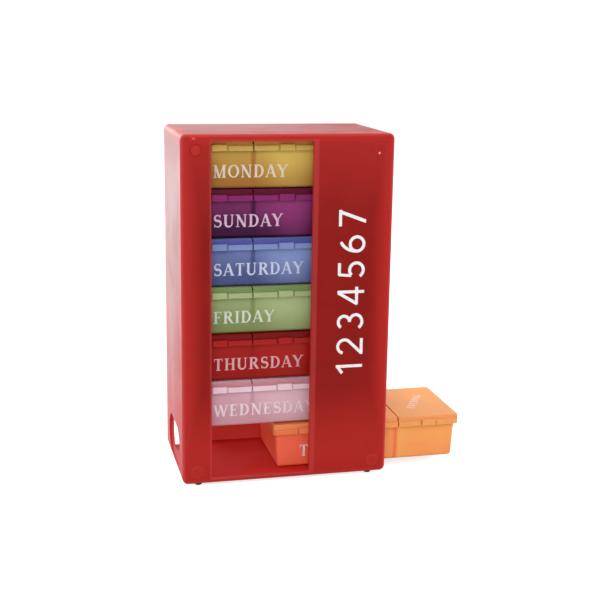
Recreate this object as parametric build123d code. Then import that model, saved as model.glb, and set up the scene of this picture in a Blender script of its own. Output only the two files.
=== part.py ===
from build123d import *
import os

# Weekly pill organizer: an upright magazine that holds seven day trays stacked flat.
# The lowest tray is pushed out to the right by a finger, an emptied one goes back in at the top.
# Lengths are in mm and angles in degrees. X runs to the right seen from the front, Y from the front
# to the back and Z up. The origin is the centre of the housing's underside.

# Day tray, measured over its lids
tray_length = 73.8
tray_depth = 37.0
tray_height = 17.5
tray_wall = 1.2
tray_floor = 1.2
tray_draft = 3.5
tray_corner_r = 1.6
tray_base_r = 1.2
divider_wall = 1.2
compartment_count = 3
pocket_corner_r = 2.2
pocket_base_r = 1.1

# Lid of one compartment, with its front lip, end skirt and finger tab
lid_plate = 1.4
lid_seat = 0.1
lid_gap = 0.6
lid_overhang = 1.4
end_overhang = 0.9
lid_clearance = 0.15
lid_corner_r = 1.6
lid_edge_r = 0.5
lip_step = 0.7
lip_drop = 1.9
lip_height = 2.0
lip_edge_r = 0.25
tab_width = 5.4
tab_proud = 0.3
tab_rise = 0.4
tab_groove = 0.5
tab_edge_r = 0.3

# Hinge at the back of each lid: trunnions on the lid turn in lugs on the tray
lug_r = 1.2
lug_width = 1.9
lug_inset = 0.2
lug_root = 0.8
hinge_standoff = 1.4
hinge_pin_r = 0.6
hinge_pin_clearance = 0.05
hinge_pin_reach = 1.4
knuckle_r = 1.15
knuckle_gap = 0.2
lid_tail = 0.9

# Stack in the housing
day_names = ("tuesday", "wednesday", "thursday", "friday", "saturday", "sunday", "monday")
lid_names = ("morning", "noon", "evening")
side_clearance = 0.3
run_clearance = 0.3
under_gap = 0.2
stack_gap = 0.35
top_gap = 0.6
pushed_out = 33.0

# Housing and front cover
wall = 1.8
cover_thickness = 1.8
rear_rim = 3.7
housing_corner_r = 2.1
housing_edge_r = 1.0
rear_edge_r = 0.4
cavity_corner_r = 1.0
window_left = 10.9
window_width = 37.1
window_head = 0.8
window_corner_r = 0.8
window_edge_r = 0.3
peg_r = 2.35
peg_inset_side = 5.4
peg_inset_low = 4.65
peg_inset_top = 5.5
peg_socket = 1.0
boss_thickness = 1.2
boss_size = 9.0
boss_corner_r = 4.0

# Openings of the housing
finger_hole_depth = 30.0
finger_hole_height = 15.8
finger_hole_setback = 1.3
slot_corner_r = 1.5
exit_headroom = 0.5
load_sill = 0.3
rear_slot_headroom = 1.5
rear_slot_height = 11.4
notch_width = 13.0
notch_depth = 7.3

# Feet
foot_r = 1.3
foot_height = 1.2
foot_set = 1.2
foot_inset_x = 6.2
foot_inset_y = 3.2
foot_edge_r = 0.3

# Heights within one tray
rim_z = tray_height - lid_plate - lid_seat
plate_z = tray_height - lid_plate
lip_top_z = tray_height - lip_drop
lip_low_z = lip_top_z - lip_height
hinge_z = rim_z - lug_r

# Places within one tray, whose centre is at X = Y = 0
lid_front = -tray_depth / 2
body_front = lid_front + lid_overhang
hinge_y = tray_depth / 2 - lug_r
body_back = hinge_y - hinge_standoff
body_depth = body_back - body_front
body_mid_y = (body_front + body_back) / 2
body_length = tray_length - 2 * end_overhang
lid_pitch = tray_length / compartment_count
plate_front = lid_front + lip_step

# Housing sizes, all from the trays and the gaps around them
front_gap = boss_thickness + run_clearance + tab_proud
level_pitch = tray_height + stack_gap
housing_width = tray_length + 2 * side_clearance + 2 * wall
housing_depth = cover_thickness + front_gap + tray_depth + run_clearance + wall + rear_rim
stack_height = len(day_names) * tray_height + (len(day_names) - 1) * stack_gap
housing_height = wall + under_gap + stack_height + top_gap + wall

front_y = -housing_depth / 2
back_y = housing_depth / 2
cover_back_y = front_y + cover_thickness
boss_back_y = cover_back_y + boss_thickness
tray_mid_y = cover_back_y + front_gap + tray_depth / 2
tray_back_y = tray_mid_y + tray_depth / 2
cavity_back_y = tray_back_y + run_clearance
recess_y = cavity_back_y + wall
inner_x = housing_width / 2 - wall
floor_z = wall
roof_z = housing_height - wall
first_tray_z = floor_z + under_gap


def block(x0, x1, y0, y1, z0, z1):
    """A box from its lowest to its highest corner."""
    return Pos((x0 + x1) / 2, (y0 + y1) / 2, (z0 + z1) / 2) * Box(x1 - x0, y1 - y0, z1 - z0)


def prism_x(outline, x0, x1):
    """An outline drawn in Y and Z, carried along X."""
    return extrude(Plane(origin=(x0, 0, 0), x_dir=(0, 1, 0), z_dir=(1, 0, 0)) * outline, amount=x1 - x0)


def prism_y(outline, y0, y1):
    """An outline drawn in X and Z, carried along Y."""
    return extrude(Plane(origin=(0, y1, 0), x_dir=(1, 0, 0), z_dir=(0, -1, 0)) * outline, amount=y1 - y0)


def sunk_block(length, depth, corner_r, top_z, low_z):
    """A block with rounded upright corners that narrows by the draft from its top down to low_z."""
    outline = Pos(0, 0, top_z) * RectangleRounded(length, depth, corner_r)
    return extrude(outline, amount=low_z - top_z, taper=tray_draft)


def lug_spans():
    """X ranges of the hinge lugs: one at each end of the tray, one wide one between two lids."""
    end = body_length / 2 - lug_inset
    between = [(k - compartment_count / 2) * lid_pitch for k in range(1, compartment_count)]
    spans = [(-end, -end + lug_width)]
    spans += [(x - lug_width, x + lug_width) for x in between]
    return spans + [(end - lug_width, end)]


def compartment_spans():
    """X ranges of the compartments at the rim, between the end walls and the dividers."""
    inner = body_length / 2 - tray_wall
    walls = [(k - compartment_count / 2) * lid_pitch for k in range(1, compartment_count)]
    lefts = [-inner] + [x + divider_wall / 2 for x in walls]
    rights = [x - divider_wall / 2 for x in walls] + [inner]
    return list(zip(lefts, rights))


def make_tray():
    """The open tray with its compartments and the lugs along its back."""
    tray = sunk_block(body_length, body_depth, tray_corner_r, rim_z, 0)
    tray = fillet(tray.faces().sort_by(Axis.Z)[0].edges(), tray_base_r)
    pocket_depth = body_depth - 2 * tray_wall
    for x0, x1 in compartment_spans():
        pocket = sunk_block(x1 - x0, pocket_depth, pocket_corner_r, rim_z, tray_floor)
        pocket = fillet(pocket.faces().sort_by(Axis.Z)[0].edges(), pocket_base_r)
        tray -= Pos((x0 + x1) / 2, 0, 0) * pocket
    tray = Pos(0, body_mid_y, 0) * tray
    root_y = body_back - lug_root
    root_mid_y = (root_y + hinge_y) / 2
    lug_outline = Pos(hinge_y, hinge_z) * Circle(lug_r)
    lug_outline += Pos(root_mid_y, hinge_z) * Rectangle(hinge_y - root_y, 2 * lug_r)
    lug_outline -= Pos(hinge_y, hinge_z) * Circle(hinge_pin_r + hinge_pin_clearance)
    for x0, x1 in lug_spans():
        tray += prism_x(lug_outline, x0, x1)
    return tray


def make_lid(index):
    """The lid of one compartment: plate, front lip, finger tab, end skirt and hinge knuckle."""
    middle = (index + 0.5 - compartment_count / 2) * lid_pitch
    x0 = middle - (lid_pitch - lid_gap) / 2
    x1 = middle + (lid_pitch - lid_gap) / 2
    if index == 0:
        x0 = -tray_length / 2
    if index == compartment_count - 1:
        x1 = tray_length / 2
    tail_y = hinge_y + lid_tail
    skirt_back = hinge_y - lug_r - lid_tail
    lid = block(x0, x1, plate_front, tail_y, plate_z, tray_height)
    lid = fillet(lid.edges().filter_by(Axis.X).group_by(Axis.Z)[-1], lid_edge_r)
    lip = block(x0, x1, lid_front, body_front, lip_low_z, lip_top_z)
    lip = fillet(lip.edges().filter_by(Axis.X).group_by(Axis.Y)[0], lip_edge_r)
    web = block(x0, x1, plate_front, body_front, lip_low_z, tray_height - lid_edge_r)
    for side in (-1, 1):
        groove_x = middle + side * (tab_width + tab_groove) / 2
        groove = block(-tab_groove / 2, tab_groove / 2, lid_front, plate_front, lip_low_z, lip_top_z)
        lip -= Pos(groove_x, 0, 0) * groove
    lid += web
    lid += lip
    # the skirt closes the outer end of the first and the last lid
    if index == 0:
        lid += block(x0, x0 + end_overhang, plate_front, skirt_back, lip_low_z, plate_z + lid_edge_r)
    if index == compartment_count - 1:
        lid += block(x1 - end_overhang, x1, plate_front, skirt_back, lip_low_z, plate_z + lid_edge_r)
    envelope = extrude(RectangleRounded(tray_length, tray_depth, lid_corner_r), amount=tray_height)
    envelope = fillet(envelope.faces().sort_by(Axis.Z)[-1].edges(), lid_edge_r)
    lid = lid & envelope
    # the inside clears the tray's rim all round
    inside = RectangleRounded(
        body_length + 2 * lid_clearance, body_depth + 2 * lid_clearance, tray_corner_r + lid_clearance
    )
    lid -= Pos(0, body_mid_y, 0) * extrude(inside, amount=plate_z)
    tab = block(
        middle - tab_width / 2,
        middle + tab_width / 2,
        lid_front - tab_proud,
        body_front - lid_clearance,
        lip_low_z,
        lip_top_z + tab_rise,
    )
    tab = fillet(tab.edges().filter_by(Axis.X).group_by(Axis.Y)[0], tab_edge_r)
    lid += tab
    # knuckle between two lugs, with a trunnion into each
    spans = lug_spans()
    knuckle_x0 = spans[index][1] + knuckle_gap
    knuckle_x1 = spans[index + 1][0] - knuckle_gap
    knuckle = Pos(hinge_y, hinge_z) * Circle(knuckle_r)
    neck_front = hinge_y - knuckle_r
    neck_mid_y = (neck_front + tail_y) / 2
    neck_height = plate_z + lid_seat - hinge_z
    knuckle += Pos(neck_mid_y, hinge_z + neck_height / 2) * Rectangle(tail_y - neck_front, neck_height)
    lid += prism_x(knuckle, knuckle_x0, knuckle_x1)
    pin_reach = knuckle_gap + hinge_pin_reach
    pin = Pos(hinge_y, hinge_z) * Circle(hinge_pin_r)
    lid += prism_x(pin, knuckle_x0 - pin_reach, knuckle_x1 + pin_reach)
    return lid


def corner_places(inset_side, inset_low, inset_top):
    """X and Z of four places, set in from the housing's sides, bottom and top."""
    x = housing_width / 2 - inset_side
    return [(side * x, z) for side in (-1, 1) for z in (inset_low, housing_height - inset_top)]


def peg_places():
    """X and Z of the four cover pegs."""
    return corner_places(peg_inset_side, peg_inset_low, peg_inset_top)


def foot_places():
    """X and Y of the four feet. The back pair stands in front of the floor's notch."""
    x = housing_width / 2 - foot_inset_x
    rear_y = back_y - notch_depth - foot_inset_y
    return [(sx * x, y) for sx in (-1, 1) for y in (front_y + foot_inset_y, rear_y)]


def make_housing():
    """The tub: both sides, roof, floor and back in one moulding, open at the front."""
    middle_z = housing_height / 2
    outer = Pos(0, middle_z) * RectangleRounded(housing_width, housing_height, housing_corner_r)
    housing = prism_y(outer, cover_back_y, back_y)
    housing = fillet(housing.faces().sort_by(Axis.Y)[-1].edges(), rear_edge_r)
    # the back wall stands a rim's depth in, so the tub is hollow on both sides of it
    cavity = Pos(0, middle_z) * RectangleRounded(2 * inner_x, roof_z - floor_z, cavity_corner_r)
    housing -= prism_y(cavity, cover_back_y, cavity_back_y)
    housing -= prism_y(cavity, recess_y, back_y)

    # one boss in each front corner takes a cover peg, rooted at mid wall
    root = RectangleRounded(housing_width - wall, housing_height - wall, housing_corner_r - wall / 2)
    boss = RectangleRounded(2 * boss_size + wall, 2 * boss_size + wall, boss_corner_r)
    for x, z in corner_places(wall / 2, wall / 2, wall / 2):
        housing += prism_y((Pos(x, z) * boss) & (Pos(0, middle_z) * root), cover_back_y, boss_back_y)
    for x, z in peg_places():
        housing -= prism_y(Pos(x, z) * Circle(peg_r), cover_back_y, boss_back_y)

    # oval hole for the finger, low in the left side
    hole_y = tray_mid_y + finger_hole_setback
    hole_z = floor_z + finger_hole_height / 2
    hole = Pos(hole_y, hole_z) * SlotOverall(finger_hole_depth, finger_hole_height)
    housing -= prism_x(hole, -housing_width / 2, 2 * cavity_corner_r - inner_x)

    # the lowest tray leaves through the exit slot, an emptied one goes in through the loading slot
    slot_mid_y = (boss_back_y + cavity_back_y) / 2
    slot_length = cavity_back_y - boss_back_y
    exit_top = first_tray_z + tray_height + exit_headroom
    load_low = first_tray_z + (len(day_names) - 1) * level_pitch - load_sill
    for low, high in ((floor_z, exit_top), (load_low, roof_z)):
        slot = Pos(slot_mid_y, (low + high) / 2) * RectangleRounded(slot_length, high - low, slot_corner_r)
        housing -= prism_x(slot, inner_x - 2 * cavity_corner_r, housing_width / 2)

    # a slot in the back wall lets the lowest lids fold back, and the left rear corner is notched
    rear_slot_top = first_tray_z + tray_height + rear_slot_headroom
    housing -= block(-inner_x, inner_x, cavity_back_y, recess_y, rear_slot_top - rear_slot_height, rear_slot_top)
    notch_x1 = notch_width - inner_x
    notch_y0 = back_y - notch_depth
    housing -= block(-inner_x, notch_x1, cavity_back_y, recess_y, floor_z, rear_slot_top)
    housing -= block(-inner_x, notch_x1, notch_y0, back_y, 0, floor_z + cavity_corner_r)

    # blind holes for the feet
    for x, y in foot_places():
        housing -= Pos(x, y, foot_set / 2) * Cylinder(foot_r, foot_set)
    return housing


def make_cover():
    """The flat front plate with its tall window and four blind sockets for the pegs."""
    middle_z = housing_height / 2
    outline = Pos(0, middle_z) * RectangleRounded(housing_width, housing_height, housing_corner_r)
    cover = prism_y(outline, front_y, cover_back_y)
    cover = fillet(cover.faces().sort_by(Axis.Y)[0].edges(), housing_edge_r)
    window_x = window_left + window_width / 2 - housing_width / 2
    window_top = roof_z - window_head
    window_low = floor_z
    window = RectangleRounded(window_width, window_top - window_low, window_corner_r)
    cover -= prism_y(Pos(window_x, (window_low + window_top) / 2) * window, front_y, cover_back_y)
    rim = cover.faces().sort_by(Axis.Y)[0].inner_wires()[0].edges()
    cover = fillet(rim, window_edge_r)
    for x, z in peg_places():
        cover -= prism_y(Pos(x, z) * Circle(peg_r), cover_back_y - peg_socket, cover_back_y)
    return cover


def make_pegs():
    """Four round pegs, each pressed through a boss into the cover."""
    return [
        prism_y(Pos(x, z) * Circle(peg_r), cover_back_y - peg_socket, boss_back_y)
        for x, z in peg_places()
    ]


def make_feet():
    """Four round feet, each pressed into a blind hole in the floor."""
    feet = []
    for x, y in foot_places():
        foot = Pos(x, y, (foot_set - foot_height) / 2) * Cylinder(foot_r, foot_set + foot_height)
        feet.append(fillet(foot.edges().sort_by(Axis.Z)[0], foot_edge_r))
    return feet


def tray_place(level):
    """Where a tray stands in the housing. The lowest one is pushed part of the way out."""
    x = pushed_out if level == 0 else 0
    return Pos(x, tray_mid_y, first_tray_z + level * level_pitch)


def write(name, shape):
    export_step(shape, f"parts/{name}.step")


os.makedirs("parts", exist_ok=True)
write("housing", make_housing())
write("front_cover", make_cover())
write("cover_pegs", Compound(children=make_pegs()))
write("feet", Compound(children=make_feet()))
day_tray = make_tray()
day_lids = [make_lid(index) for index in range(compartment_count)]
for level, day in enumerate(day_names):
    write(f"tray_{day}", tray_place(level) * day_tray)
    for lid_name, lid in zip(lid_names, day_lids):
        write(f"lid_{day}_{lid_name}", tray_place(level) * lid)
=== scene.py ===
import math

import bpy
import numpy as np
from mathutils import Matrix, Vector


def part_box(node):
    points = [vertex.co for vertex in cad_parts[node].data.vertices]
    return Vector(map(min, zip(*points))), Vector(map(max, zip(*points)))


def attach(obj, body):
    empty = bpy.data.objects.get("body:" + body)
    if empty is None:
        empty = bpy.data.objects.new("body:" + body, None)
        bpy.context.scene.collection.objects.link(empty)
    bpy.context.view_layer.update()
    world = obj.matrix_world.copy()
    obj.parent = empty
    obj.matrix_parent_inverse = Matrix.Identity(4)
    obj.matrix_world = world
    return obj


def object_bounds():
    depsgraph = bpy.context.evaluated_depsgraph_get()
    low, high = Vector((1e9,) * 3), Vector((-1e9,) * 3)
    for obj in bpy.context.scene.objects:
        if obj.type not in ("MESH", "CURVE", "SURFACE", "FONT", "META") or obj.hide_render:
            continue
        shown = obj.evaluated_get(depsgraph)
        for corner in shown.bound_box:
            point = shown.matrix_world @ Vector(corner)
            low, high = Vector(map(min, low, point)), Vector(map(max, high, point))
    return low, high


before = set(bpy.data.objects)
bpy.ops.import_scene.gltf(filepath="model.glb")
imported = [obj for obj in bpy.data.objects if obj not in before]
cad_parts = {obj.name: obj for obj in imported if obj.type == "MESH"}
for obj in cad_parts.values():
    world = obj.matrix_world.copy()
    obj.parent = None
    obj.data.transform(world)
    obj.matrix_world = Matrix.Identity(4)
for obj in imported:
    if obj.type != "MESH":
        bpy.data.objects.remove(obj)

cad_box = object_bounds()
mm = 0.001

# The housing: an upright tub with roof, floor, sides and back in one moulding of frosted red
# polypropylene. The plastic lets light through, and its fine grain turns whitish where it is seen flat.

# The box of the housing with its cover on, by which the zones of the red are laid out.
housing_low, housing_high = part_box("housing")
cover_face_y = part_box("front_cover")[0][1]
shell_low = Vector((housing_low[0], cover_face_y, housing_low[2]))
shell_high = Vector(housing_high)
roof_z = shell_high[2]
back_wall_y = 17.7 * mm


def add_node(tree, kind, inputs=(), **settings):
    """Adds a shader node. inputs maps its sockets to plain values or to other nodes' sockets."""
    made = tree.nodes.new(kind)
    for name, value in settings.items():
        setattr(made, name, value)
    for socket, value in dict(inputs).items():
        if isinstance(value, bpy.types.NodeSocket):
            tree.links.new(value, made.inputs[socket])
        else:
            made.inputs[socket].default_value = value
    return made


def calculate(tree, operation, *values):
    """The output of a Math node that works on up to three values or sockets."""
    return add_node(tree, "ShaderNodeMath", enumerate(values), operation=operation).outputs[0]


def distance(tree, value, place):
    """How far a value lies from a place, to either side."""
    return calculate(tree, "ABSOLUTE", calculate(tree, "SUBTRACT", value, place))


def soft_step(tree, value, low, high, start=0.0, end=1.0):
    """Goes from start at low to end at high with an S-shaped slope, and stays level outside."""
    inputs = {"Value": value, "From Min": low, "From Max": high, "To Min": start, "To Max": end}
    step = add_node(tree, "ShaderNodeMapRange", inputs, interpolation_type="SMOOTHSTEP")
    return step.outputs["Result"]


def mix_colors(tree, share, first, second):
    """The first colour where share is 0 and the second where it is 1."""
    mix = add_node(tree, "ShaderNodeMix", {0: share, 6: first, 7: second}, data_type="RGBA")
    return mix.outputs[2]


def object_place(tree):
    """The X, Y and Z of a point of the piece, in the frame of the whole organizer."""
    place = add_node(tree, "ShaderNodeTexCoord").outputs["Object"]
    return add_node(tree, "ShaderNodeSeparateXYZ", {0: place}).outputs


def new_material(name):
    """A new material with its node tree and its Principled shader."""
    made = bpy.data.materials.new(name)
    made.use_nodes = True
    return made, made.node_tree, made.node_tree.nodes["Principled BSDF"]


def new_group(name, inputs, outputs):
    """An empty shader node group: inputs maps names to default values, outputs names to kinds."""
    group = bpy.data.node_groups.new(name, "ShaderNodeTree")
    for label, value in inputs.items():
        kind = {1: "NodeSocketFloat", 3: "NodeSocketVector", 4: "NodeSocketColor"}[np.size(value)]
        socket = group.interface.new_socket(label, in_out="INPUT", socket_type=kind)
        socket.default_value = value
    for label, kind in outputs.items():
        group.interface.new_socket(label, in_out="OUTPUT", socket_type=kind)
    return group, group.nodes.new("NodeGroupInput").outputs, group.nodes.new("NodeGroupOutput").inputs


def moulded_grain_group():
    """Frosted plastic: a fine spark-eroded grain as a normal, and a slow flow of tone from the melt."""
    group, given, result = new_group(
        "Moulded grain",
        {"Grain per metre": 2600.0, "Flow per metre": 55.0, "Depth": 0.12},
        {"Normal": "NodeSocketVector", "Tone": "NodeSocketFloat"},
    )
    place = add_node(group, "ShaderNodeTexCoord").outputs["Object"]
    grain = add_node(
        group, "ShaderNodeTexNoise",
        {"Vector": place, "Scale": given["Grain per metre"], "Detail": 2.0, "Roughness": 0.6},
    )
    flow = add_node(
        group, "ShaderNodeTexNoise",
        {"Vector": place, "Scale": given["Flow per metre"], "Detail": 3.0, "Roughness": 0.5,
         "Distortion": 0.6},
    )
    bump = add_node(
        group, "ShaderNodeBump",
        {"Strength": given["Depth"], "Distance": 0.03 * mm, "Height": grain.outputs["Fac"]},
    )
    group.links.new(bump.outputs["Normal"], result["Normal"])
    group.links.new(soft_step(group, flow.outputs["Fac"], 0.3, 0.7), result["Tone"])
    return group


skin_top = 0.5 * mm
skin_depth = 1.3 * mm


def edge_light_group():
    """How near a point on a box-shaped piece lies to the box's edges and to its faces.
    Of the point's distances to the three nearest faces, the middle one is the distance to the nearest
    edge: Edge is 1 there and falls to 0 at Width. Wide does the same over Wide width. The least of the
    three is the depth under the outside: Skin is 1 down to the skin's top and 0 from its depth on."""
    group, given, result = new_group(
        "Edge light",
        {"Centre": (0.0, 0.0, 0.0), "Half size": (0.1, 0.1, 0.1), "Width": 0.002, "Wide width": 0.02},
        {"Edge": "NodeSocketFloat", "Wide": "NodeSocketFloat", "Skin": "NodeSocketFloat"},
    )
    place = add_node(group, "ShaderNodeTexCoord").outputs["Object"]
    offset = add_node(
        group, "ShaderNodeVectorMath", {0: place, 1: given["Centre"]}, operation="SUBTRACT"
    ).outputs[0]
    away = add_node(group, "ShaderNodeVectorMath", {0: offset}, operation="ABSOLUTE").outputs[0]
    inside = add_node(
        group, "ShaderNodeVectorMath", {0: given["Half size"], 1: away}, operation="SUBTRACT"
    ).outputs[0]
    x, y, z = add_node(group, "ShaderNodeSeparateXYZ", {0: inside}).outputs
    lesser = calculate(group, "MINIMUM", x, y)
    greater = calculate(group, "MAXIMUM", x, y)
    middle = calculate(group, "MAXIMUM", lesser, calculate(group, "MINIMUM", greater, z))
    for label, width in (("Edge", "Width"), ("Wide", "Wide width")):
        group.links.new(soft_step(group, middle, 0.0, given[width], 1.0, 0.0), result[label])
    depth = calculate(group, "MINIMUM", lesser, z)
    group.links.new(soft_step(group, depth, skin_top, skin_depth, 1.0, 0.0), result["Skin"])
    return group


grain_group = moulded_grain_group()
edge_group = edge_light_group()


def edge_light(tree, low, high, width, wide_width):
    """Places the edge light on a box-shaped piece from its lowest to its highest corner."""
    edges = add_node(tree, "ShaderNodeGroup", node_tree=edge_group)
    edges.inputs["Centre"].default_value = (Vector(low) + Vector(high)) / 2
    edges.inputs["Half size"].default_value = (Vector(high) - Vector(low)) / 2
    edges.inputs["Width"].default_value = width
    edges.inputs["Wide width"].default_value = wide_width
    return edges.outputs


# The shell's reds. Apart from the deep reds and the plain inside red, these are painted light: light coming
# through the outside, light from the table, a highlight along edges and windows, and light on the inside's
# back wall and round the finger hole.
deep_reds = ((0.27, 0.003, 0.001, 1), (0.31, 0.004, 0.001, 1))
painted_light_red = (0.52, 0.018, 0.013, 1)
table_lit_red = (0.70, 0.030, 0.036, 1)
rim_light_red = (0.66, 0.08, 0.08, 1)
inner_red = (0.66, 0.022, 0.016, 1)
back_wall_light_red = (1.0, 0.11, 0.09, 1)
hole_rim_light_red = (0.90, 0.11, 0.10, 1)
hole_floor_light_red = (0.85, 0.20, 0.21, 1)


def painted_light_through(tree, edges, z, on_front):
    """How much painted light the outside gets for the light that comes through it: the most near the outline
    of the housing, low down where the stack leaves a bay free, and under the roof, there twice as much on
    the front."""
    free_bay = soft_step(tree, z, 8 * mm, 42 * mm, 0.85, 0.0)
    near_roof = soft_step(tree, z, roof_z - 36 * mm, roof_z)
    roof_share = calculate(tree, "MULTIPLY_ADD", on_front, 0.3, 0.3)
    under_roof = calculate(tree, "MULTIPLY", near_roof, roof_share)
    return calculate(tree, "MAXIMUM", edges["Wide"], calculate(tree, "MAXIMUM", free_bay, under_roof))


def window_rim_light(tree, x, z, window):
    """The painted light along a plate's window, whose lowest and highest corner are given: a share of 0.3
    that fades with how far a point lies outside the window in X or in Z, whichever is more."""
    (left, low), (right, high) = window
    outward_x = calculate(tree, "SUBTRACT", distance(tree, x, (left + right) / 2), (right - left) / 2)
    outward_z = calculate(tree, "SUBTRACT", distance(tree, z, (low + high) / 2), (high - low) / 2)
    outward = calculate(tree, "MAXIMUM", outward_x, outward_z)
    return soft_step(tree, outward, 0.3 * mm, 1.0 * mm, 0.3, 0.0)


def inner_color(tree, x, y, z):
    """The fuller red of the inside, with painted light: lightest on the back wall, lighter round the finger
    hole low in the left side, and palest on the floor beside that hole, where the daylight falls in."""
    # Painted light on the back wall, round the finger hole and on the floor beside it.
    on_back = soft_step(tree, y, back_wall_y - 0.5 * mm, back_wall_y)
    color = mix_colors(tree, on_back, inner_red, back_wall_light_red)
    beside_hole = soft_step(tree, x, shell_low[0] + 4 * mm, shell_low[0] + 10 * mm, 1.0, 0.0)
    low_down = soft_step(tree, z, 18 * mm, 26 * mm, 1.0, 0.0)
    color = mix_colors(tree, calculate(tree, "MULTIPLY", beside_hole, low_down), color, hole_rim_light_red)
    on_floor = soft_step(tree, z, 2.0 * mm, 4.0 * mm, 1.0, 0.0)
    return mix_colors(tree, calculate(tree, "MULTIPLY", beside_hole, on_floor), color, hole_floor_light_red)


def gloss_strength(tree, x, y, z, on_front):
    """How strong the whitish gloss is on the outside. On the sides it grows with height, on the roof it
    falls from left to right, and it is weaker near the front, but for the top of the sides. The front
    itself has 0.45 of it."""
    least = soft_step(tree, z, 80 * mm, 118 * mm, 0.5, 1.0)
    upward = soft_step(tree, z, 60 * mm, 122 * mm, 0.46, 1.0)
    off_front = soft_step(tree, y, cover_face_y, cover_face_y + 30 * mm, least, 1.0)
    side = calculate(tree, "MULTIPLY", upward, off_front)
    leftward = soft_step(tree, x, -20 * mm, 35 * mm, 0.55, 0.04)
    off_front = soft_step(tree, y, cover_face_y, cover_face_y + 30 * mm, 0.5, 1.0)
    roof = calculate(tree, "MULTIPLY", leftward, off_front)
    on_roof = soft_step(tree, z, roof_z - 2.5 * mm, roof_z - 1.0 * mm)
    gloss = soft_step(tree, on_roof, 0.0, 1.0, side, roof)
    return calculate(tree, "MULTIPLY", gloss, calculate(tree, "MULTIPLY_ADD", on_front, -0.55, 1.0))


def red_shell(name, window=None):
    """Frosted red. The outside is deep in the middle of each face, with painted light where light comes
    through. Off the front it has painted light from the table low down, and a painted highlight along its
    edges and along the rim of a plate's window. The inside is fuller and duller, with painted light on its
    back wall and round the finger hole, and has none of the whitish gloss."""
    made, tree, shader = new_material(name)
    grain = add_node(tree, "ShaderNodeGroup", node_tree=grain_group)
    edges = edge_light(tree, shell_low, shell_high, 1.5 * mm, 9 * mm)
    x, y, z = object_place(tree)
    on_front = soft_step(tree, y, cover_face_y + 1.0 * mm, cover_face_y + 2.2 * mm, 1.0, 0.0)
    deep = mix_colors(tree, grain.outputs["Tone"], *deep_reds)
    # Painted light where light comes through the outside.
    outside = mix_colors(tree, painted_light_through(tree, edges, z, on_front), deep, painted_light_red)
    off_front = calculate(tree, "SUBTRACT", 1.0, on_front)
    # Painted light from the table, low down off the front.
    table_light = calculate(tree, "MULTIPLY", soft_step(tree, z, 0.0, 100 * mm, 0.75, 0.0), off_front)
    outside = mix_colors(tree, table_light, outside, table_lit_red)
    # A painted highlight along the edges, and along a plate's window.
    rim = calculate(tree, "MULTIPLY", edges["Edge"], 0.5)
    if window:
        rim = calculate(tree, "MAXIMUM", rim, window_rim_light(tree, x, z, window))
    outside = mix_colors(tree, rim, outside, rim_light_red)
    behind_wall = soft_step(tree, y, back_wall_y + 0.6 * mm, back_wall_y + 1.2 * mm)
    skin = calculate(tree, "MAXIMUM", edges["Skin"], behind_wall)
    color = mix_colors(tree, skin, inner_color(tree, x, y, z), outside)
    tree.links.new(color, shader.inputs["Base Color"])
    gloss = calculate(tree, "MULTIPLY", skin, gloss_strength(tree, x, y, z, on_front))
    tree.links.new(gloss, shader.inputs["Coat Weight"])
    shader.inputs["Coat Roughness"].default_value = 0.3
    shader.inputs["Coat IOR"].default_value = 1.25
    shader.inputs["Specular IOR Level"].default_value = 0.12
    frosting = soft_step(tree, grain.outputs["Tone"], 0.0, 1.0, 0.34, 0.42)
    duller = soft_step(tree, skin, 0.0, 1.0, 0.3, 0.0)
    tree.links.new(calculate(tree, "ADD", frosting, duller), shader.inputs["Roughness"])
    tree.links.new(grain.outputs["Normal"], shader.inputs["Normal"])
    shader.inputs["IOR"].default_value = 1.5
    shader.inputs["Transmission Weight"].default_value = 0.12
    return made


def dress(nodes, material):
    """Gives CAD nodes their finish."""
    for name in nodes:
        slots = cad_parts[name].material_slots
        if not slots:
            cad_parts[name].data.materials.append(material)
        for used in slots:
            used.material = material


dress(["housing"], red_shell("frosted red shell"))

# The front cover: a flat plate of the same red plastic with a tall window in front of the stack.
# Four round pegs hold it to the bosses of the housing and show on it as slightly raised discs.
# Beside the window a row of plain numbers is printed in white, one for each tray.

# The window's corners in X and Z, round which the plate has a painted light strip. The plate is cut at
# X 9.0, and the right corner is set 1.2 mm past that because the painted light strip along this side is
# the wider one.
cover_window = ((-28.1 * mm, 1.8 * mm), (10.2 * mm, 126.4 * mm))
cover_red = red_shell("frosted red cover", cover_window)
dress(["front_cover", "cover_pegs"], cover_red)

# Measures of strokes and flares are in units of the capitals' height, and the arc step is in degrees.
stem_width = 0.18
hair_width = 0.085
serif_width = 0.06
numeral_width = 0.11
flare_length = 0.09
flare_width = 0.045
arc_step = 7.5
layers = 12
layer_step = 0.003 * mm


def upright(x, low=0.0, high=1.0, width=stem_width, flare=flare_width):
    """A straight upright stroke. Its half width grows by flare times the square of how far a point lies
    into the flare, which is the last stretch before each end."""
    share = np.linspace(0, 1, 17)
    to_end = np.minimum(share, 1 - share) * (high - low)
    half = width / 2 + flare * np.clip(1 - to_end / flare_length, 0, 1) ** 2
    path = np.column_stack((np.full_like(share, x), low + (high - low) * share))
    return path, np.column_stack((half, np.zeros_like(share)))


def slant(x0, y0, x1, y1, width):
    """A straight slanting stroke, cut level at both ends: its half width is measured level, so it is
    the stroke's own half width times the stroke's length over its rise."""
    path = np.linspace((x0, y0), (x1, y1), 9)
    level = width / 2 * math.hypot(x1 - x0, y1 - y0) / abs(y1 - y0)
    return path, np.tile((level, 0.0), (len(path), 1))


def bar(x0, x1, y, width=serif_width):
    """A level stroke from x0 to x1."""
    path = np.linspace((x0, y), (x1, y), 5)
    return path, np.tile((0.0, width / 2), (len(path), 1))


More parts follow.
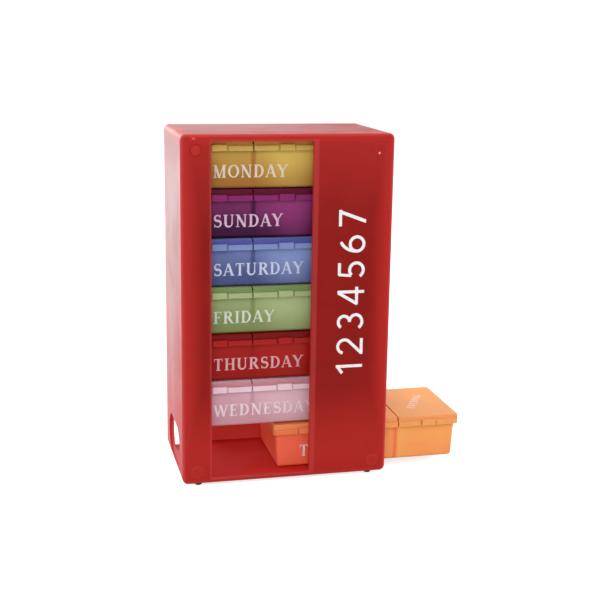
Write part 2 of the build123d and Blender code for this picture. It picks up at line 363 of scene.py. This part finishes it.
def serif(x, y, reach):
    """The thin level foot or head of a stroke that ends at y = 0 or y = 1."""
    middle = serif_width / 2 if y == 0 else 1 - serif_width / 2
    return bar(x - reach, x + reach, middle)


def ellipse(centre, radii, start, end):
    """Points on an ellipse from one angle to another, in degrees, one arc step or less apart, and those
    angles in radians."""
    angle = np.radians(np.linspace(start, end, int(abs(end - start) / arc_step) + 2))
    points = np.column_stack((centre[0] + radii[0] * np.cos(angle), centre[1] + radii[1] * np.sin(angle)))
    return points, angle


def curve(path, widths):
    """A stroke along any path: the half width stands square to the path's own direction."""
    direction = np.gradient(path, axis=0)
    if np.allclose(path[0], path[-1]):
        direction[0] = direction[-1] = path[1] - path[-2]
    direction /= np.linalg.norm(direction, axis=1)[:, None]
    square = np.column_stack((-direction[:, 1], direction[:, 0]))
    return path, square * (np.broadcast_to(widths, len(path)) / 2)[:, None]


def bowl(centre, radii, start, end):
    """A curved stroke that is thick where it runs upright and thin where it runs level: its width grows
    from the hairline with the cosine of the angle, to the power 1.5."""
    path, angle = ellipse(centre, radii, start, end)
    swell = np.abs(np.cos(angle)) ** 1.5
    return curve(path, hair_width + (stem_width - hair_width) * swell)


def pen(*parts):
    """A numeral's stroke of even width through the points of its parts, one after the other."""
    path = np.vstack([np.atleast_2d(part) for part in parts])
    return curve(path, numeral_width)


def raised_print(name, strokes, thickness, place):
    """One solid of print. Each stroke is a flat bar carried along its path: at every point of the path
    its section has four corners, at plus and minus the stroke's side and at the foot and the top of the
    ink. A closed path joins its last section to its first, and an open one gets two end faces.
    Strokes that cross are a layer step apart in height, so that no two top faces lie in one plane.
    place takes rows of (across, up, out) and gives rows of X, Y and Z in metres."""
    vertices = []
    faces = []
    count = 0
    for layer, (path, side) in enumerate(strokes):
        top = thickness / 2 + layer % layers * layer_step
        closed = np.allclose(path[0], path[-1])
        if closed:
            path = path[:-1]
            side = side[:-1]
        ahead = path[1] - path[0]
        if ahead[0] * side[0][1] - ahead[1] * side[0][0] < 0:
            side = -side
        n = len(path)
        section = np.stack((path + side, path - side, path - side, path + side), axis=1)
        out = np.broadcast_to((-thickness / 2, -thickness / 2, top, top), (n, 4))
        vertices.append(np.concatenate((section, out[:, :, None]), axis=2).reshape(-1, 3))
        first = np.arange(n if closed else n - 1)
        then = (first + 1) % n
        for k in range(4):
            after = (k + 1) % 4
            quads = np.column_stack((first * 4 + k, then * 4 + k, then * 4 + after, first * 4 + after))
            faces.append(quads + count)
        if not closed:
            faces.append(np.array([[0, 1, 2, 3], [4 * n - 1, 4 * n - 2, 4 * n - 3, 4 * n - 4]]) + count)
        count += 4 * n
    mesh = bpy.data.meshes.new(name)
    mesh.from_pydata(place(np.vstack(vertices)).tolist(), [], np.vstack(faces).tolist())
    made = bpy.data.objects.new(name, mesh)
    bpy.context.scene.collection.objects.link(made)
    return made


def on_plane(origin, across, up, height):
    """Takes points in units of the cap height to a plane given by two directions. The third number of a
    point is in metres and goes straight out of that plane."""
    out = np.cross(across, up)

    def place(points):
        flat = points[:, :1] * height * np.array(across) + points[:, 1:2] * height * np.array(up)
        return np.array(origin) + flat + points[:, 2:] * out

    return place


def set_line(glyphs, words, gap):
    """Sets characters side by side with an even gap. Gives all their strokes and the line's length."""
    strokes = []
    pen_x = 0.0
    for letter in words:
        advance, parts = glyphs[letter]
        strokes += [(path + (pen_x, 0.0), side) for path, side in parts]
        pen_x += advance + gap
    return strokes, pen_x - gap


def ring(centre, radii, start, end):
    """The points alone of an ellipse's arc."""
    return ellipse(centre, radii, start, end)[0]


# Each numeral: how far it moves the pen on, and its strokes.
numerals = {
    "1": (0.42, [pen((0.04, 0.76), (0.30, 0.945)), upright(0.30, width=numeral_width, flare=0)]),
    "2": (0.66, [pen(ring((0.34, 0.69), (0.25, 0.255), 165, -35), (0.075, 0.055)),
                 bar(0.03, 0.63, 0.055, numeral_width)]),
    "3": (0.64, [pen(ring((0.31, 0.735), (0.22, 0.21), 150, -90)),
                 pen(ring((0.31, 0.29), (0.26, 0.235), 90, -150))]),
    "4": (0.70, [slant(0.49, 1.0, 0.06, 0.28, numeral_width), bar(0.02, 0.68, 0.28, numeral_width),
                 upright(0.50, width=numeral_width, flare=0)]),
    "5": (0.64, [bar(0.13, 0.58, 0.945, numeral_width), slant(0.15, 0.97, 0.11, 0.50, 0.10),
                 pen(ring((0.31, 0.31), (0.26, 0.255), 135, -150))]),
    "6": (0.66, [pen(ring((0.33, 0.31), (0.26, 0.255), 0, 360)),
                 pen(ring((0.62, 0.33), (0.55, 0.62), 178, 112))]),
    "7": (0.62, [bar(0.03, 0.62, 0.945, numeral_width), slant(0.56, 0.97, 0.20, 0.0, 0.12)]),
}

numeral_row = "1234567"
numeral_height = 10.2 * mm
numeral_foot_x = 28.8 * mm
numeral_low_z = 39.5 * mm
numeral_high_z = 101.5 * mm
ink_thickness = 0.06 * mm


def grained_surface(tree, shader, grain, color, smooth, rough):
    """Links a colour to the shader, with the grain's normal and a roughness that goes from smooth to
    rough with the grain's tone."""
    tree.links.new(color, shader.inputs["Base Color"])
    roughness = soft_step(tree, grain.outputs["Tone"], 0.0, 1.0, smooth, rough)
    tree.links.new(roughness, shader.inputs["Roughness"])
    tree.links.new(grain.outputs["Normal"], shader.inputs["Normal"])


def white_ink(name, color):
    """Screen printed ink: a little uneven in cover and gloss, over the grain of the plastic."""
    made, tree, shader = new_material(name)
    grain = add_node(tree, "ShaderNodeGroup", node_tree=grain_group)
    grain.inputs["Flow per metre"].default_value = 900.0
    thin = tuple(0.86 * c for c in color)
    cover = mix_colors(tree, grain.outputs["Tone"], (*thin, 1), (*color, 1))
    grained_surface(tree, shader, grain, cover, 0.5, 0.6)
    return made


band_ink = white_ink("white band ink", (0.93, 0.91, 0.91))
line_advance = (numeral_high_z - numeral_low_z) / numeral_height
numeral_total = sum(numerals[key][0] for key in numeral_row)
numeral_gap = (line_advance - numeral_total) / (len(numeral_row) - 1)
strokes, _ = set_line(numerals, numeral_row, numeral_gap)
upward = on_plane((numeral_foot_x, cover_face_y, numeral_low_z), (0, 0, 1), (-1, 0, 0), numeral_height)
band_numerals = raised_print("band_numerals", strokes, ink_thickness, upward)
band_numerals.data.materials.append(band_ink)
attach(band_numerals, "magazine")


def turned_pad(name, centre, radii, heights, material):
    """A low round pad on the front face: its profile of heights over radii is turned once round the
    line through centre that points out of the face. The last profile point lies in the face."""
    turns = 48
    angle = np.linspace(0, 2 * math.pi, turns, endpoint=False)
    r, a = np.meshgrid(radii[1:], angle, indexing="ij")
    out = np.broadcast_to(np.array(heights[1:])[:, None], r.shape)
    ring_points = np.stack((r * np.cos(a), -out, r * np.sin(a)), axis=-1).reshape(-1, 3)
    top = np.array([[0.0, -heights[0], 0.0]])
    points = np.vstack((top, ring_points)) + np.array(centre)
    rows = len(radii) - 1
    k = np.arange(turns)
    after = (k + 1) % turns
    faces = np.column_stack((np.zeros(turns, int), 1 + k, 1 + after)).tolist()
    for row in range(rows - 1):
        near = 1 + row * turns
        far = near + turns
        faces += np.column_stack((near + k, far + k, far + after, near + after)).tolist()
    faces.append((1 + (rows - 1) * turns + k[::-1]).tolist())
    mesh = bpy.data.meshes.new(name)
    mesh.from_pydata(points.tolist(), [], faces)
    mesh.polygons.foreach_set("use_smooth", np.ones(len(mesh.polygons), bool))
    made = bpy.data.objects.new(name, mesh)
    bpy.context.scene.collection.objects.link(made)
    made.data.materials.append(material)
    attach(made, "magazine")
    return made


def peg_islands():
    """The lowest and highest corner of each of the four pegs, from their one CAD node: a peg's points
    are those on its own side of the housing's middle, left or right and low or high."""
    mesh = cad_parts["cover_pegs"].data
    points = np.empty(len(mesh.vertices) * 3)
    mesh.vertices.foreach_get("co", points)
    points = points.reshape(-1, 3)
    middle_z = (shell_low[2] + shell_high[2]) / 2
    corners = []
    for right_side in (False, True):
        for high_side in (False, True):
            own = points[((points[:, 0] > 0) == right_side) & ((points[:, 2] > middle_z) == high_side)]
            corners.append((own.min(axis=0), own.max(axis=0)))
    return corners


disc_profile_r = np.array([0.0, 0.55, 0.80, 0.90, 0.96, 1.0])
disc_profile_h = np.array([0.025, 0.030, 0.075, 0.070, 0.035, -0.02]) * mm


def disc_red(name, centre, radius, painted_middle_red, painted_ring_red):
    """The cover's red over a peg or a gate, painted with light and shade: one red in the middle, and another
    along the rim.
    """
    made, tree, shader = new_material(name)
    grain = add_node(tree, "ShaderNodeGroup", node_tree=grain_group)
    x, _, z = object_place(tree)
    aside = calculate(tree, "SUBTRACT", x, centre[0])
    aloft = calculate(tree, "SUBTRACT", z, centre[2])
    away = calculate(tree, "SQRT", calculate(tree, "ADD", calculate(tree, "POWER", aside, 2.0),
                                             calculate(tree, "POWER", aloft, 2.0)))
    fuller = tuple(min(1.0, 1.12 * c) for c in painted_middle_red)
    body = mix_colors(tree, grain.outputs["Tone"], (*painted_middle_red, 1), (*fuller, 1))
    rim = soft_step(tree, away, 0.5 * radius, 0.95 * radius)
    # The painted ring round the disc.
    color = mix_colors(tree, rim, body, (*painted_ring_red, 1))
    grained_surface(tree, shader, grain, color, 0.34, 0.42)
    shader.inputs["Specular IOR Level"].default_value = 0.12
    return made


# The painted light and shade of each disc's middle and rim, by whether it is on the right and whether it is
# low: the four pegs are alike, and their reds differ by how the light falls on them.
painted_disc_reds = {
    (False, False): ((0.43, 0.024, 0.020), (0.34, 0.010, 0.008)),
    (True, False): ((0.36, 0.013, 0.011), (0.40, 0.022, 0.018)),
    (False, True): ((0.41, 0.018, 0.015), (0.45, 0.028, 0.024)),
    (True, True): ((0.41, 0.018, 0.015), (0.45, 0.028, 0.024)),
}
for k, (peg_low, peg_high) in enumerate(peg_islands()):
    peg_middle = (peg_low + peg_high) / 2
    peg_radius = (peg_high[0] - peg_low[0]) / 2
    centre = (peg_middle[0], cover_face_y, peg_middle[2])
    painted_middle_red, painted_ring_red = painted_disc_reds[bool(peg_middle[0] > 0), bool(peg_middle[2] < housing_high[2] / 2)]
    finish = disc_red(f"peg disc {k + 1}", centre, peg_radius, painted_middle_red, painted_ring_red)
    turned_pad(f"peg_witness_{k + 1}", centre, disc_profile_r * peg_radius, disc_profile_h, finish)

# Two small gate marks, where the melt flowed into the mould: X, Z and the red of each, a painted highlight
# lighter than the cover round it.
gate_places = ((-34.3 * mm, 127.6 * mm, (0.66, 0.07, 0.06)), (33.2 * mm, 121.9 * mm, (0.85, 0.30, 0.26)))
gate_rim_red = (0.50, 0.03, 0.026)
gate_profile_r = np.array([0.0, 0.22, 0.38, 0.50, 0.75, 0.9]) * mm
gate_profile_h = np.array([0.16, 0.13, 0.05, 0.01, 0.03, -0.02]) * mm
gate_radius = gate_profile_r[4]
for k, (gate_x, gate_z, painted_gate_red) in enumerate(gate_places):
    centre = (gate_x, cover_face_y, gate_z)
    finish = disc_red(f"gate mark {k + 1}", centre, gate_radius, painted_gate_red, gate_rim_red)
    turned_pad(f"gate_mark_{k + 1}", centre, gate_profile_r, gate_profile_h, finish)

# The feet: four small round feet of dark rubber, each pressed into a blind hole in the floor.
# They are turned from rod and are a little greyer at their lower edge.


def foot_rubber():
    """Dark rubber, a little greyer towards the end that stands on the table."""
    made, tree, shader = new_material("dark foot rubber")
    grain = add_node(tree, "ShaderNodeGroup", node_tree=grain_group)
    grain.inputs["Depth"].default_value = 0.3
    foot_low_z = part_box("feet")[0][2]
    # Greyer towards the lower end of the foot.
    lower_end = soft_step(tree, object_place(tree)["Z"], foot_low_z, 0.0, 1.0, 0.0)
    color = mix_colors(tree, lower_end, (0.045, 0.008, 0.016, 1), (0.075, 0.035, 0.045, 1))
    grained_surface(tree, shader, grain, color, 0.55, 0.7)
    return made


dress(["feet"], foot_rubber())

# The day trays: seven equal mouldings with three compartments each, every day in its own tint of
# frosted polypropylene. The walls are thin, and the dividers and the floor that show through them are
# painted into the tint as shade.

# The deep and the light tint of each day's plastic.
tray_tints = {
    "monday": ((0.41, 0.18, 0.030), (0.78, 0.55, 0.12)),
    "sunday": ((0.050, 0.001, 0.042), (0.33, 0.040, 0.20)),
    "saturday": ((0.075, 0.094, 0.26), (0.26, 0.35, 0.68)),
    "friday": ((0.23, 0.29, 0.10), (0.46, 0.57, 0.26)),
    "thursday": ((0.34, 0.005, 0.003), (0.49, 0.014, 0.010)),
    "wednesday": ((0.66, 0.34, 0.40), (0.87, 0.56, 0.64)),
    "tuesday": ((0.96, 0.155, 0.082), (1.0, 0.47, 0.125)),
}
lid_names = ("morning", "noon", "evening")
body_of_day = {"monday": "top_tray", "tuesday": "bottom_tray"}
tray_draft = math.radians(3.5)
divider_shadow = 1.3 * mm
light_middle = 3 * mm

# How much painted shade a tray has towards its floor and at its left end, and how clear it is. The
# pushed tray stands half in the open light, so its painted light and shade differ at its two ends and its
# floor shade is less.
stacked_tones = {"floor": 0.28, "end": 0.0, "clearness": 0.12}
pushed_tones = {"floor": 0.06, "end": 0.45, "clearness": 0.02}
tones_of_day = {day: pushed_tones if day == "tuesday" else stacked_tones for day in tray_tints}


def frosted_plastic(shader, transmission):
    """The gloss of frosted polypropylene, which lets part of the light through."""
    shader.inputs["IOR"].default_value = 1.5
    shader.inputs["Specular IOR Level"].default_value = 0.15
    shader.inputs["Transmission Weight"].default_value = transmission


def tray_plastic(day, deep, light):
    """A tray's tint with painted light and shade: lightest towards the lids and a little right of its
    middle, with painted shade towards the floor and along the dividers, and a painted highlight along its
    edges. A tray with an end tone has painted shade at its left end and painted light in its last
    compartment."""
    made, tree, shader = new_material(f"{day} tray")
    low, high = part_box(f"tray_{day}")
    grain = add_node(tree, "ShaderNodeGroup", node_tree=grain_group)
    edges = edge_light(tree, low, high, 0.8 * mm, 6 * mm)
    x, _, z = object_place(tree)
    middle_x = (low[0] + high[0]) / 2
    pitch = (high[0] - low[0]) / len(lid_names)
    off_light = distance(tree, x, middle_x + light_middle)
    # Painted glow a little right of the middle.
    middle_glow = soft_step(tree, off_light, 0.0, 0.7 * pitch, 0.52, 0.0)
    off_divider = distance(tree, distance(tree, x, middle_x), pitch / 2)
    # Painted shade along the dividers.
    divider = soft_step(tree, off_divider, 0.2 * mm, divider_shadow, 0.45, 0.0)
    floor_shade = tones_of_day[day]["floor"]
    # Painted shade towards the floor and painted light towards the lids.
    above_floor = soft_step(tree, z, low[2], low[2] + 0.8 * (high[2] - low[2]), 0.12 - floor_shade, 0.12 + floor_shade)
    toned = calculate(tree, "MULTIPLY_ADD", grain.outputs["Tone"], 0.15, above_floor)
    end_shade = tones_of_day[day]["end"]
    # Painted shade at the left end and painted light in the last compartment.
    left_part = soft_step(tree, x, low[0] + 0.6 * pitch, middle_x + 0.4 * pitch, -end_shade, 0.0)
    last_divider = middle_x + pitch / 2
    last_part = soft_step(tree, x, last_divider - 0.6 * mm, last_divider + 0.6 * mm, 0.0, end_shade)
    toned = calculate(tree, "ADD", toned, calculate(tree, "ADD", left_part, last_part))
    share = calculate(tree, "SUBTRACT", calculate(tree, "ADD", toned, middle_glow), divider)
    clear_share = soft_step(tree, share, -0.1, 1.1)
    body = mix_colors(tree, clear_share, (*deep, 1), (*light, 1))
    # A painted highlight along the edges.
    painted_edge_light = tuple(min(1.0, 1.2 * c + 0.02) for c in light)
    rim = calculate(tree, "MULTIPLY", edges["Edge"], 0.4)
    color = mix_colors(tree, rim, body, (*painted_edge_light, 1))
    grained_surface(tree, shader, grain, color, 0.34, 0.44)
    frosted_plastic(shader, tones_of_day[day]["clearness"])
    return made


for day, (deep, light) in tray_tints.items():
    dress([f"tray_{day}"], tray_plastic(day, deep, light))

# The names of the days are printed in pale ink on the front wall of each tray, in plain capitals
# with serifs. The wall leans back by the tray's draft, and the print lies on it.

arm_width = 0.07
tick_width = 0.05


def tick(x, low, high):
    """The short upright end of a level arm."""
    return upright(x, low, high, tick_width, 0)


def serifs(x, reach=0.17):
    """The foot and the head of an upright stroke."""
    return [serif(x, 0, reach), serif(x, 1, reach)]


# Each letter: how far it moves the pen on, and its strokes.
letters = {
    "A": (0.84, [slant(0.09, 0, 0.40, 1, hair_width), slant(0.40, 1, 0.74, 0, stem_width),
                 bar(0.20, 0.60, 0.33), serif(0.09, 0, 0.12), serif(0.74, 0, 0.16)]),
    "D": (0.86, [upright(0.20), bar(0.20, 0.36, 0.9575, hair_width), bar(0.20, 0.36, 0.0425, hair_width),
                 bowl((0.36, 0.5), (0.36, 0.4575), 90, -90), *serifs(0.19)]),
    "E": (0.72, [upright(0.20), bar(0.20, 0.62, 0.965, arm_width), bar(0.20, 0.50, 0.52, arm_width),
                 bar(0.20, 0.64, 0.035, arm_width), tick(0.60, 0.78, 1.0), tick(0.62, 0.0, 0.24),
                 tick(0.485, 0.42, 0.62), *serifs(0.19)]),
    "F": (0.68, [upright(0.20), bar(0.20, 0.62, 0.965, arm_width), bar(0.20, 0.50, 0.52, arm_width),
                 tick(0.60, 0.78, 1.0), tick(0.485, 0.42, 0.62), serif(0.20, 0, 0.18), serif(0.19, 1, 0.17)]),
    "G": (0.92, [bowl((0.45, 0.5), (0.35, 0.4575), 48, 318), upright(0.73, 0.04, 0.42, stem_width, 0),
                 bar(0.58, 0.88, 0.42), tick(0.71, 0.74, 1.0)]),
    "H": (0.92, [upright(0.20), upright(0.72), bar(0.20, 0.72, 0.52, arm_width), *serifs(0.20),
                 *serifs(0.72)]),
    "I": (0.40, [upright(0.20), *serifs(0.20)]),
    "M": (1.06, [upright(0.17, width=hair_width), slant(0.17, 1, 0.51, 0, stem_width),
                 slant(0.49, 0, 0.83, 1, hair_width), upright(0.86), serif(0.17, 0, 0.13),
                 serif(0.14, 1, 0.12), serif(0.86, 0, 0.17), serif(0.88, 1, 0.14)]),
    "N": (0.92, [upright(0.17, width=hair_width), slant(0.14, 1, 0.74, 0, stem_width),
                 upright(0.75, width=hair_width), serif(0.17, 0, 0.13), serif(0.12, 1, 0.12),
                 serif(0.75, 1, 0.13)]),
    "O": (0.90, [bowl((0.45, 0.5), (0.35, 0.4575), 0, 360)]),
    "R": (0.84, [upright(0.20), bar(0.20, 0.38, 0.9575, hair_width), bar(0.20, 0.40, 0.53, hair_width),
                 bowl((0.38, 0.744), (0.235, 0.2135), 90, -90), slant(0.42, 0.53, 0.74, 0, stem_width),
                 *serifs(0.19), serif(0.76, 0, 0.10)]),
    "T": (0.78, [upright(0.39), bar(0.05, 0.73, 0.965, arm_width), tick(0.075, 0.76, 1.0),
                 tick(0.705, 0.76, 1.0), serif(0.39, 0, 0.17)]),
    "V": (0.84, [slant(0.10, 1, 0.43, 0, stem_width), slant(0.42, 0, 0.74, 1, hair_width),
                 serif(0.11, 1, 0.16), serif(0.74, 1, 0.12)]),
    "W": (1.18, [slant(0.09, 1, 0.36, 0, stem_width), slant(0.35, 0, 0.59, 1, hair_width),
                 slant(0.57, 1, 0.84, 0, stem_width), slant(0.83, 0, 1.08, 1, hair_width),
                 serif(0.10, 1, 0.15), serif(0.56, 1, 0.10), serif(1.08, 1, 0.11)]),
    "Y": (0.84, [slant(0.09, 1, 0.42, 0.44, stem_width), slant(0.42, 0.44, 0.75, 1, hair_width),
                 upright(0.42, 0.0, 0.48), serif(0.10, 1, 0.15), serif(0.75, 1, 0.12), serif(0.42, 0, 0.17)]),
}


def letter_s():
    """An S of two arcs run into one line, whose width swells with the squared sine of the way along it."""
    upper = ring((0.35, 0.735), (0.215, 0.2225), 35, 270)
    lower = ring((0.36, 0.2875), (0.245, 0.245), 85, -145)
    path = np.vstack((upper[:-1], lower[1:]))
    along = np.linspace(0, 1, len(path))
    line = curve(path, hair_width + (stem_width - hair_width) * np.sin(math.pi * along) ** 2)
    return 0.70, [line, tick(0.55, 0.74, 1.0), tick(0.13, 0.0, 0.26)]


def letter_u():
    """A U whose width falls evenly round its foot, from the thick left stem to the thin right one."""
    path, angle = ellipse((0.44, 0.30), (0.26, 0.2575), 180, 360)
    share = (angle - math.pi) / math.pi
    foot = curve(path, stem_width + (hair_width - stem_width) * share)
    stems = [upright(0.18, 0.28, 1.0), upright(0.70, 0.28, 1.0, hair_width)]
    return 0.88, [foot, *stems, serif(0.18, 1, 0.16), serif(0.70, 1, 0.13)]


letters["S"] = letter_s()
letters["U"] = letter_u()
name_height = 4.6 * mm
name_gap = 0.10
name_inset = 9.4 * mm
name_baseline = 4.0 * mm
name_cover = 0.05 * mm
print_tints = {
    "monday": (0.80, 0.68, 0.54),
    "sunday": (0.72, 0.52, 0.68),
    "saturday": (0.62, 0.66, 0.86),
    "friday": (0.68, 0.74, 0.62),
    "thursday": (0.74, 0.40, 0.42),
    "wednesday": (0.88, 0.74, 0.80),
    "tuesday": (0.98, 0.76, 0.72),
}
day_inks = {day: white_ink(f"{day} ink", tint) for day, tint in print_tints.items()}


def print_day(day):
    """Prints the day's name on its tray. The origin is on the wall at the baseline: the wall's lower
    part lies back by the drop below the rim times the tangent of the draft."""
    low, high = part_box(f"tray_{day}")
    drop = (high[2] - low[2]) - name_baseline
    origin = (low[0] + name_inset, low[1] + drop * math.tan(tray_draft), low[2] + name_baseline)
    up = (0.0, -math.sin(tray_draft), math.cos(tray_draft))
    strokes, _ = set_line(letters, day.upper(), name_gap)
    made = raised_print(f"name_{day}", strokes, name_cover, on_plane(origin, (1, 0, 0), up, name_height))
    made.data.materials.append(day_inks[day])
    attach(made, body_of_day.get(day, "magazine"))


for day in tray_tints:
    print_day(day)

# The lids: one over each compartment, hinged at the back and opened by the tab in its front lip.
# They are moulded in the tint of their tray, and a small word for the time of day stands on each.

lip_height = 2.0 * mm
plate_setback = 1.0 * mm
# The painted shade of the step above the lip, where the tray above shades it.
step_shades = {
    "monday": (0.80, 0.38, 0.070),
    "sunday": (0.11, 0.001, 0.020),
    "saturday": (0.09, 0.10, 0.38),
    "friday": (0.19, 0.31, 0.095),
    "thursday": (0.20, 0.002, 0.001),
    "wednesday": (0.60, 0.25, 0.29),
    "tuesday": (0.86, 0.34, 0.12),
}
# Lids whose tint isn't 0.90 of their tray's light tint: Sunday's and Wednesday's have their own, and the
# pushed tray's differ by painted light and shade, with its morning lid inside the housing the deepest and
# reddest.
lid_tints_and_shades = {
    "sunday": dict.fromkeys(lid_names, (0.27, 0.020, 0.15)),
    "wednesday": dict.fromkeys(lid_names, (0.92, 0.65, 0.73)),
    "tuesday": {"morning": (0.84, 0.21, 0.075), "noon": (0.95, 0.38, 0.11), "evening": (0.91, 0.40, 0.12)},
}
lid_words = {"morning": "MORNING", "noon": "NOON", "evening": "EVENING"}
label_angle = math.radians(62)
label_height = 3.0 * mm


def lid_plastic(day, lid, light):
    """A lid's tint: a light plate, lip and tab, a painted highlight along the edges, and a painted shade
    band on the step above the lip, which lies behind the lip, in front of the plate's top and above the
    lip's height."""
    made, tree, shader = new_material(f"{day} {lid} lid")
    low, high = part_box(f"lid_{day}_{lid}")
    grain = add_node(tree, "ShaderNodeGroup", node_tree=grain_group)
    edges = edge_light(tree, low, high, 0.7 * mm, 5 * mm)
    _, y, z = object_place(tree)
    tints_of_lids = lid_tints_and_shades.get(day, {})
    fuller = tints_of_lids.get(lid, tuple(0.90 * c for c in light))
    paler = tuple(0.90 * c for c in fuller)
    body = mix_colors(tree, grain.outputs["Tone"], (*paler, 1), (*fuller, 1))
    # A painted highlight along the edges.
    painted_edge_light = tuple(min(1.0, 1.2 * c + 0.01) for c in fuller)
    rim = calculate(tree, "MULTIPLY", edges["Edge"], 0.3)
    top = mix_colors(tree, rim, body, (*painted_edge_light, 1))
    # Painted shade on the step above the lip.
    behind_lip = soft_step(tree, y, low[1] + 0.7 * plate_setback, low[1] + 0.9 * plate_setback)
    in_front = soft_step(tree, y, low[1] + 1.1 * plate_setback, low[1] + 1.4 * plate_setback, 1.0, 0.0)
    above_lip = soft_step(tree, z, low[2] + 0.9 * lip_height, low[2] + lip_height)
    step = calculate(tree, "MULTIPLY", calculate(tree, "MULTIPLY", behind_lip, in_front), above_lip)
    step_shade = tuple(min(pair) for pair in zip(step_shades[day], painted_edge_light))
    color = mix_colors(tree, step, top, (*step_shade, 1))
    grained_surface(tree, shader, grain, color, 0.32, 0.42)
    frosted_plastic(shader, tones_of_day[day]["clearness"])
    return made


def print_label(day, lid):
    """Sets the small word slantwise on the middle of a lid's top."""
    low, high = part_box(f"lid_{day}_{lid}")
    strokes, length = set_line(letters, lid_words[lid], name_gap)
    across = np.array((math.cos(label_angle), math.sin(label_angle), 0.0))
    up = np.array((-math.sin(label_angle), math.cos(label_angle), 0.0))
    middle = np.array(((low[0] + high[0]) / 2, (low[1] + high[1]) / 2, high[2]))
    origin = middle - across * length * label_height / 2 - up * label_height / 2
    made = raised_print(f"label_{day}_{lid}", strokes, name_cover, on_plane(origin, across, up, label_height))
    made.data.materials.append(day_inks[day])
    own_body = "bottom_lid" if (day, lid) == ("tuesday", "evening") else body_of_day.get(day, "magazine")
    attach(made, own_body)


for day, (_, light) in tray_tints.items():
    for lid in lid_names:
        dress([f"lid_{day}_{lid}"], lid_plastic(day, lid, light))
        print_label(day, lid)

# The photographer's table: a white floor that runs into a white studio, under large soft lamps.
# The camera stands to the left of the front and looks down a little.

floor_size = 12.0
paper_glow = 0.75
bpy.ops.mesh.primitive_plane_add(size=floor_size, location=(0, 0, cad_box[0][2]))
floor = bpy.context.object
floor.name = "floor"


def table_paper():
    """White paper: the camera sees it as bright as the studio, and so does the gloss of the plastic
    where the paper lies behind the organizer."""
    made, tree, shader = new_material("white paper")
    shader.inputs["Base Color"].default_value = (0.62, 0.62, 0.62, 1)
    shader.inputs["Roughness"].default_value = 0.9
    rays = add_node(tree, "ShaderNodeLightPath")
    shader.inputs["Emission Color"].default_value = (1, 1, 1, 1)
    behind = soft_step(tree, object_place(tree)["Y"], -0.02, 0.30)
    mirrored = calculate(tree, "MULTIPLY", rays.outputs["Is Glossy Ray"], behind)
    seen = calculate(tree, "MAXIMUM", rays.outputs["Is Camera Ray"], mirrored)
    glow = calculate(tree, "MULTIPLY", seen, paper_glow)
    tree.links.new(glow, shader.inputs["Emission Strength"])
    return made


floor.data.materials.append(table_paper())


def camera_axes(azimuth, elevation, roll):
    """Right, up and back vectors of a camera that looks from that azimuth and elevation, then rolls."""
    back = np.array([math.sin(azimuth) * math.cos(elevation), -math.cos(azimuth) * math.cos(elevation),
                     math.sin(elevation)])
    right = np.cross(-back, (0, 0, 1))
    right /= np.linalg.norm(right)
    up = np.cross(right, -back)
    turned_right = right * math.cos(roll) + up * math.sin(roll)
    turned_up = up * math.cos(roll) - right * math.sin(roll)
    return turned_right, turned_up, back


def area_lamp(name, place, aim, size, power):
    """A square soft lamp that shines from place towards aim."""
    lamp = bpy.data.lights.new(name, "AREA")
    lamp.size = size
    lamp.energy = power
    made = bpy.data.objects.new(name, lamp)
    made.location = place
    made.rotation_euler = (Vector(aim) - Vector(place)).to_track_quat("-Z", "Y").to_euler()
    bpy.context.scene.collection.objects.link(made)
    return made


focus = (0.0, 0.0, 0.065)
area_lamp("left lamp", (-0.90, -0.05, 0.50), focus, 0.6, 4.0)
area_lamp("rear left lamp", (-0.45, 0.90, 0.42), focus, 0.6, 3.0)
area_lamp("right lamp", (0.9, -0.3, 0.5), focus, 0.6, 5.0)
area_lamp("top lamp", (-0.1, 0.35, 1.0), focus, 0.7, 3.4)
area_lamp("front lamp", (-0.3, -1.1, 0.7), focus, 0.8, 6.0)

# The studio's walls: plain white to the camera and through clear plastic. Gloss sees them white behind
# the organizer and dimmer in front of it, and their light on everything else is 0.45 of that.
studio_light = 0.45
world = bpy.data.worlds.new("white studio")
world.use_nodes = True
sky = world.node_tree
background = sky.nodes["Background"]
rays = add_node(sky, "ShaderNodeLightPath")
toward = add_node(sky, "ShaderNodeTexCoord").outputs["Generated"]
toward_y = add_node(sky, "ShaderNodeSeparateXYZ", {0: toward}).outputs["Y"]
behind = soft_step(sky, toward_y, -0.5, 0.3, 0.25, 1.0)
seen = calculate(sky, "MAXIMUM", rays.outputs["Is Camera Ray"], rays.outputs["Is Transmission Ray"])
mirrored = calculate(sky, "MULTIPLY", rays.outputs["Is Glossy Ray"], behind)
seen = calculate(sky, "MAXIMUM", seen, mirrored)
sky.links.new(calculate(sky, "MAXIMUM", seen, studio_light), background.inputs["Strength"])
background.inputs["Color"].default_value = (1, 1, 1, 1)
bpy.context.scene.world = world

# The camera, as solved from the edges of the housing in the photograph, whose frame is 600 pixels.
focal_length_px = 1155.5
frame_px = 600
camera_place = Vector((-92.33, -422.8, 163.89)) * mm
right, up, back = camera_axes(math.radians(-13.62), math.radians(13.04), math.radians(0.85))
camera = bpy.data.cameras.new("camera")
camera.sensor_width = 36.0
camera.lens = focal_length_px / frame_px * camera.sensor_width
camera_object = bpy.data.objects.new("camera", camera)
turn = Matrix((right, up, back)).transposed().to_4x4()
camera_object.matrix_world = Matrix.Translation(camera_place) @ turn
bpy.context.scene.collection.objects.link(camera_object)
bpy.context.scene.camera = camera_object

bpy.context.scene.view_settings.view_transform = "Standard"
